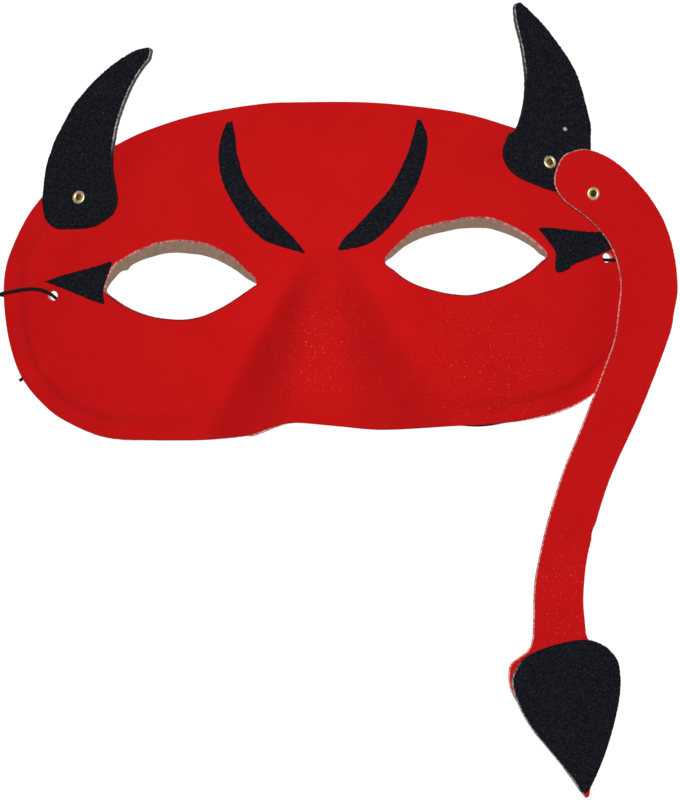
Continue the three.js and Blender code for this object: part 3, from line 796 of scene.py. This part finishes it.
def makeShell():
    # layers: 0 red cloth, 1 lining, 2 cut edge, 3 painted shade along the lower eye rims
    slots = ["red", "lining", "cut", "edgeShade"]
    nearRim = nearestIn(throughPoints(shell["outline"], shell["finePerSpan"], closed=True))
    below, above, lip = shell["below"], shell["above"], shell["lip"] / form["wall"]
    eyeLevels = {
        "cut": [(lip, 0, 0, 2), (shell["aboveEye"], 0, 0, 2)],
        "clear": [
            (below, 0, 0, 1), (lip - shell["underLip"], 0, 0, 2), (shell["shadeFrom"], 0, 0, 3),
            (above, 0, 0, 3),
        ],
    }
    cutters, rims = [], {key: [] for key in eyeLevels}
    for eye in shell["eyes"]:
        for key, levels in eyeLevels.items():
            line = throughPoints(eye[key], shell["eyePerSpan"], closed=True, power=0.5)
            rims[key] += zip(line, inwardsOf(line))
            cutters.append((line, levels))
    holes = [(place, shell) for place in shell["cordHoles"]]
    holes += [(throughShell(side), eyelets) for side in eyelets["places"]]
    for (x, y), sizes in holes:
        levels = [(level, 0, sizes["holeRagged"], 2) for level in (below, above)]
        cutters.append((circle(x, y, sizes["holeRadius"]), levels))
    blank = bareObject(makeBlank(), slots)
    tools = []
    for loop, levels in cutters:
        tool = bareObject(cutterMesh(loop, levels, "shellCutter", endLayer=1), slots)
        tools.append((tool, "DIFFERENCE"))
    mesh = cutAway(blank, tools)
    print("blank is cut")
    nearEye = {key: nearestIn([p for p, _ in rim]) for key, rim in rims.items()}

    def slanted(co):
        # the cut slants, so that its edge shows pale in the upper rims and dark, with painted shade, in
        # the lower ones
        key = "cut" if abs(co.z - lip) < shell["sameLevel"] else "clear"
        _, i, away = nearEye[key].find((co.x, co.y, 0))
        if away > shell["slantWithin"] or (key == "clear" and co.z < 1 - shell["sameLevel"]):
            return co.x, co.y
        n = rims[key][i][1]
        upper = smoothStep(*shell["slantUpper"], n.y)
        reach = shell["slant"][0] * upper if key == "cut" else -shell["slant"][1] * (1 - upper)
        rough, fine, layer = shell["slantWave"]
        reach *= 1 + rough * noise.noise((co.x * fine, co.y * fine, layer))
        return co.x + n.x * reach, co.y + n.y * reach

    def press(co):
        x, y = slanted(co)
        height = pressed(x, y, nearRim.find((x, y, 0))[2])
        spot = Vector((x, y, height)) - panelNormal(x, y) * form["wall"] * (1 - co.z)
        spot.z = max(spot.z, 0)
        return spot

    bend(mesh, press)
    addPiece(mesh, "pressed_shell", slots, "mask", ["mask_shell"], sharp=42)


makeShell()
print("shell is pressed")


# each outline is a few smooth spans that meet at corners
patches = {
    "browLeft": [
        [(-24.6, 44), (-26.8, 38.6), (-27.6, 32.7), (-26.2, 24.9), (-21, 14.7), (-17, 10.2),
         (-13.8, 8.2), (-4.8, 4.8)],
        [(-4.8, 5.2), (-7.6, 9.4), (-10.4, 12.6), (-14.9, 18.2), (-20, 26.1), (-22.1, 34.6),
         (-22.3, 39.5), (-22.9, 44.1)],
    ],
    "browRight": [
        [(29.9, 41), (28.2, 36), (25.8, 30.2), (21, 22.1), (16, 16.9), (10, 11.2), (6.9, 8.7), (4.6, 5.6)],
        [(4.9, 4.9), (12, 5.9), (17, 8.4), (23, 14.4), (28.2, 22), (31.4, 29.6), (32.4, 35.6), (31, 40.8)],
    ],
    "flashLeft": [
        [(-80, 2.4), (-77.8, 2.9), (-74.2, 3.8), (-69.5, 4.7), (-64.8, 5.6), (-60.5, 6.6)],
        [(-60.1, 5.9), (-61.2, 3.5), (-62.1, 1.4), (-62.9, -0.7), (-63.3, -2.8), (-63, -5.6)],
        [(-65.2, -4.7), (-67.2, -3.8), (-70, -2.4), (-73.4, -0.7), (-77.3, 1.1), (-79.8, 2.3)],
    ],
    "flashRight": [
        [(62.3, 7.6), (64.2, 7.7), (68.5, 7.1), (72.8, 6.3), (78.6, 5.5), (80.7, 5.4)],
        [(83.2, 3.2), (83.7, 1.2), (82.9, 0.3)],
        [(79.9, -0.9), (78.7, -1.4), (75.1, -2.4), (72.1, -3.3), (70.3, -4.6), (69.1, -5.1), (66.9, -5.5)],
        [(66.3, -4.4), (66.5, -2.4), (66.8, -0.4), (66.4, 1.4), (65.3, 3.1), (64, 5.2), (62.7, 6.9)],
    ],
    "nodes": {
        "browLeft": "brow_left", "browRight": "brow_right",
        "flashLeft": "eye_flash_left", "flashRight": "eye_flash_right",
    },
    "thickness": 0.55, "above": 0.06, "ragged": 0.15, "cell": 1.1, "perSpan": 14, "step": 0.28,
    # the upper edge rounds in: from what share of the thickness, to how far above it, and how far in
    "rounded": (0.7, 0.1, 0.16),
    "wave": (0.05, 5, 3.0),
}


def makePatches():
    top, ragged = patches["thickness"], patches["ragged"]
    share, over, inwards = patches["rounded"]
    levels = [(-1, 0, ragged, 0), (top * share, 0, ragged, 0), (top + over, inwards, ragged, 0)]

    def lay(co):
        lifted = co.z + patches["above"] + waveAt(co.x, co.y, *patches["wave"])
        return Vector((co.x, co.y, panelHeight(co.x, co.y) + lifted / panelNormal(co.x, co.y).z))

    for key, nodeName in patches["nodes"].items():
        line = [p for span in patches[key] for p in throughPoints(span, patches["perSpan"])]
        outline = evenly(line + line[:1], patches["step"])[:-1]
        mesh = cutSheet(key, outline, top, levels, [], patches["cell"], ["black"])
        addPiece(bend(mesh, lay), nodeName + "_cloth", ["black"], "mask", [nodeName])


makePatches()
print("brows and flashes are laid")


def closedOutline(points, perSpan, step):
    line = throughPoints(points, perSpan, closed=True)
    return evenly([*line, Vector(points[0])], step)[:-1]


horns = {
    "left": [
        (23.7, 40.4), (20.9, 40.3), (16.7, 39), (11.6, 36.6), (6.9, 33.7), (4, 31.4), (0.4, 28.3),
        (-2.2, 25), (-4.3, 22), (-6.7, 18.6), (-7.6, 16.6), (-9.5, 12.6), (-10.5, 9.3), (-11.3, 5.3),
        (-11.8, 2.4), (-11.9, -0.6), (-11.3, -3.8), (-9.7, -6.1), (-8, -7.2), (-4.4, -7.9),
        (0.1, -8.6), (3.8, -8.5), (6.5, -7.7), (9.3, -6.2), (10.5, -4.4), (11.1, -2.4), (11, 0.2),
        (10.7, 2.8), (10.4, 5.4), (10.4, 8.8), (11, 12.6), (11.9, 16.2), (12.8, 19.5), (14.5, 23.5),
        (16.5, 27.4), (18.4, 30.5), (20.3, 33), (22.3, 35.2), (24.4, 37.1), (24.8, 38.1),
        (25.2, 39.2), (25, 40.1),
    ],
    "right": [
        (-5.8, 47.9), (-6.7, 46.8), (-6.8, 44.1), (-6.5, 41.1), (-5.9, 38.2), (-5.4, 35.1),
        (-5.1, 32.1), (-4.8, 26.7), (-5, 23.9), (-5.3, 20.9), (-6.4, 16), (-7.5, 12.9), (-8.3, 11),
        (-9.7, 9), (-11.3, 8.1), (-12.2, 6.2), (-13.3, 3.6), (-13.3, 0.9), (-12.4, -1.2),
        (-10.5, -3.2), (-8.2, -4.6), (-3.5, -6.3), (1.1, -7.6), (7.4, -8.1), (11.7, -5.2),
        (13.7, -0.9), (13.6, 5.5), (14.1, 11.8), (13.7, 15), (13.1, 18.3), (12.3, 22.1),
        (11.3, 26.1), (9.4, 30.5), (6.3, 35.5), (2.5, 40.6), (-0.9, 44.2), (-4.6, 47.6),
    ],
    "thickness": 1.9, "gap": 0.3, "cell": 1.3, "perSpan": 20, "step": 0.3,
    # height, inset, raggedness, layer: pale fluff at the foot, dark back, pale core, black cloth
    "edge": [(-1, -0.24, 0.1, 2), (0.2, -0.3, 0.12, 3), (0.95, -0.24, 0.12, 3), (1.15, -0.1, 0.14, 2),
             (1.5, 0.03, 0.2, 0), (1.7, 0.0, 0.18, 0), (2.0, 0.2, 0.16, 0)],
    "wave": (0.06, 7, 1.0),
}


def makeHorn(side):
    outline = closedOutline(horns[side], horns["perSpan"], horns["step"])
    slots = ["black", "underside", "core", "underside"]
    hole = circle(0, 0, eyelets["barrel"] + eyelets["play"])
    mesh = cutSheet("horn", outline, horns["thickness"], horns["edge"], [hole], horns["cell"], slots)
    pose = cardPose(side)

    def lay(co):
        wave = waveAt(co.x, co.y, *horns["wave"])
        return pose @ Vector((co.x, co.y, co.z + horns["gap"] + wave))

    node = "horn_" + side
    addPiece(bend(mesh, lay), node + "_card", slots, side + "_horn", [node])


tail = {
    "outline": [
        (-0.9, 12.6), (4.6, 10.4), (9.9, 6.5), (14.5, 1.5), (18.6, -4.1), (22.2, -11.3),
        (24.3, -20.6), (24.6, -29.8), (23, -36.4), (20.5, -44.2), (10.9, -62.9), (2.8, -76.4),
        (-1.5, -84.2), (-6.1, -95), (-9.5, -105), (-11.3, -115), (-11.4, -122.4), (-10.6, -128),
        (-4.9, -131), (-2.9, -135), (-2.5, -140.9), (-5.1, -152), (-8.1, -159.6), (-12.7, -169.6),
        (-13.9, -173.2), (-15.7, -171.8), (-24.3, -158.4), (-32.9, -144.8), (-35.5, -139.4),
        (-35.6, -134.6), (-34.3, -132.1), (-29.5, -129.4), (-27.7, -126.4), (-26.9, -120.8),
        (-25.9, -110.9), (-23.8, -102.8), (-20.5, -93), (-15, -80), (-8.7, -68.2), (-3.5, -58.3),
        (1.7, -48), (4.3, -42.2), (6.1, -34), (7.3, -26.6), (6.3, -19.2), (3.4, -12.8), (-2, -6.6),
        (-8.5, -1.2), (-11, 3), (-10.8, 6.6), (-8.3, 11), (-4.9, 12.4),
    ],
    "spade": [
        (-12.7, -127.9), (-22, -128.5), (-30.3, -130.7), (-34, -134), (-35.4, -138), (-33.8, -144.5),
        (-30.2, -151.6), (-25.1, -158.6), (-18.6, -167.5), (-16.3, -171.6), (-14.1, -170.8),
        (-10.7, -165.5), (-7.7, -159.5), (-4.7, -152), (-2.7, -144.9), (-2.1, -139.4), (-2.9, -134.2),
        (-7.1, -129.8),
    ],
    "nicks": [((-6.4, -97.1), 2.2, (-0.35, 0.1))],  # place, reach, and how far the edge moves
    "thickness": 1.3, "cell": 1.8, "step": 0.4, "perSpan": 24,
    "spadeThickness": 1.5, "spadeCell": 1.2, "spadeStep": 0.3, "spadeGap": 0.1,
    # as on the horns: red cloth at the back and the front, pale core between
    "edge": [(-1, 0.06, 0.04, 0), (0.35, -0.2, 0.06, 2), (0.4, -0.2, 0.09, 2), (0.8, 0.02, 0.09, 2),
             (0.86, 0.0, 0.07, 0), (1.2, 0.0, 0.07, 0), (1.4, 0.18, 0.07, 0)],
    "spadeEdge": [(-1, -0.1, 0.06, 2), (0.45, -0.18, 0.1, 2), (0.95, -0.02, 0.1, 0),
                  (1.35, 0.0, 0.1, 0), (1.6, 0.2, 0.1, 0)],
    "wave": (0.08, 12, 5.0),
}


def makeTail():
    pose = cardPose("tail")
    outline = closedOutline(tail["outline"], tail["perSpan"], tail["step"])
    outline = nicked(outline, tail["nicks"])
    hole = circle(0, 0, eyelets["barrel"] + eyelets["play"])
    slots = ["red", "red", "cut"]
    mesh = cutSheet("tail", outline, tail["thickness"], tail["edge"], [hole], tail["cell"], slots)

    def lay(co):
        return pose @ Vector((co.x, co.y, co.z + waveAt(co.x, co.y, *tail["wave"])))

    addPiece(bend(mesh, lay), "tail_card", slots, "tail_body", ["tail"])
    outline = closedOutline(tail["spade"], tail["perSpan"], tail["spadeStep"])
    slots = ["black", "core", "core"]
    thickness = tail["spadeThickness"]
    mesh = cutSheet("spade", outline, thickness, tail["spadeEdge"], [], tail["spadeCell"], slots)

    def layOnTail(co):
        return lay(co + Vector((0, 0, tail["thickness"] + tail["spadeGap"])))

    addPiece(bend(mesh, layOnTail), "spade_cloth", slots, "tail_body", ["spade_patch"])


def eyeletProfile(front, back):
    bore, flange, side = eyelets["bore"], eyelets["flange"], eyelets["side"]
    seat, foot = front + eyelets["seat"], back - eyelets["rolled"]
    half, rise = (flange - bore) / 2, eyelets["rim"] - side
    profile = [(flange - eyelets["tuck"], seat), (flange, seat + side)]
    for i in range(1, eyelets["arc"]):
        turn = math.pi * i / eyelets["arc"]
        profile.append((bore + half + half * math.cos(turn), seat + side + rise * math.sin(turn)))
    profile.append((bore, seat + side))
    profile += [(eyelets[key] + out, foot + level) for key, out, level in eyelets["rearRim"]]
    return profile + [(eyelets["barrel"], seat)]


def makeEyelet(side, node):
    front, back = eyelets["levels"][side]
    bm = bmesh.new()
    verts = [bm.verts.new((r, 0, z)) for r, z in eyeletProfile(front, back)]
    edges = [bm.edges.new(pair) for pair in zip(verts, verts[1:] + verts[:1])]
    bmesh.ops.spin(
        bm, geom=verts + edges, axis=(0, 0, 1), cent=(0, 0, 0), angle=2 * math.pi,
        steps=eyelets["around"], use_merge=True,
    )
    bmesh.ops.remove_doubles(bm, verts=bm.verts, dist=0.001)
    bmesh.ops.recalc_face_normals(bm, faces=bm.faces)
    out, up = eyelets["boreShadeReach"]
    widest, highest = eyelets["bore"] + out, front + eyelets["seat"] + up
    # faces inside the bore take the painted shade
    for face in bm.faces:
        spot = face.calc_center_median()
        face.material_index = int(spot.xy.length < widest and spot.z < highest)
    pose = cardPose(side)
    for vert in bm.verts:
        vert.co = inFrame(pose @ vert.co)
    name = node + "_ring"
    slots = ["brass", "boreShade"]
    addPiece(meshFrom(bm, name), name, slots, "mask", [node], sharp=50)


makeHorn("left")
makeHorn("right")
makeTail()
for side, node in eyelets["nodes"].items():
    makeEyelet(side, node)
print("horns and tail are on their eyelets")


# light and floor

lamp = {"place": (0.02, 0.2, 2.3), "aim": (0, 0.02, 0), "size": 0.12, "power": 50}
studio = {"ambient": 0.025, "floor": (0.06, 0.06, 0.06), "floorSize": 3, "glow": 1.0}


def addLamp():
    data = bpy.data.lights.new("key", "AREA")
    data.shape = "DISK"
    data.size = lamp["size"]
    data.energy = lamp["power"]
    made = bpy.data.objects.new("key", data)
    made.location = lamp["place"]
    toAim = Vector(lamp["aim"]) - made.location
    made.rotation_euler = toAim.to_track_quat("-Z", "Y").to_euler()
    bpy.context.scene.collection.objects.link(made)


def addWorld():
    world = bpy.data.worlds.new("studio")
    world.use_nodes = True
    background = world.node_tree.nodes["Background"]
    background.inputs["Color"].default_value = (1, 1, 1, 1)
    background.inputs["Strength"].default_value = studio["ambient"]
    bpy.context.scene.world = world
    bpy.context.scene.view_settings.view_transform = "Standard"


def addFloor():
    bm = bmesh.new()
    bmesh.ops.create_grid(bm, x_segments=1, y_segments=1, size=studio["floorSize"])
    material, _, shader = newMaterial("lightTable")
    shader.inputs["Base Color"].default_value = (*studio["floor"], 1)
    shader.inputs["Roughness"].default_value = 0.8
    shader.inputs["Specular IOR Level"].default_value = 0.1
    shader.inputs["Emission Color"].default_value = (1, 1, 1, 1)
    shader.inputs["Emission Strength"].default_value = studio["glow"]
    floor = bpy.data.objects.new("floor", meshFrom(bm, "floor"))
    floor.data.materials.append(material)
    bpy.context.scene.collection.objects.link(floor)


addLamp()
addWorld()
addFloor()
print("light and floor are set")
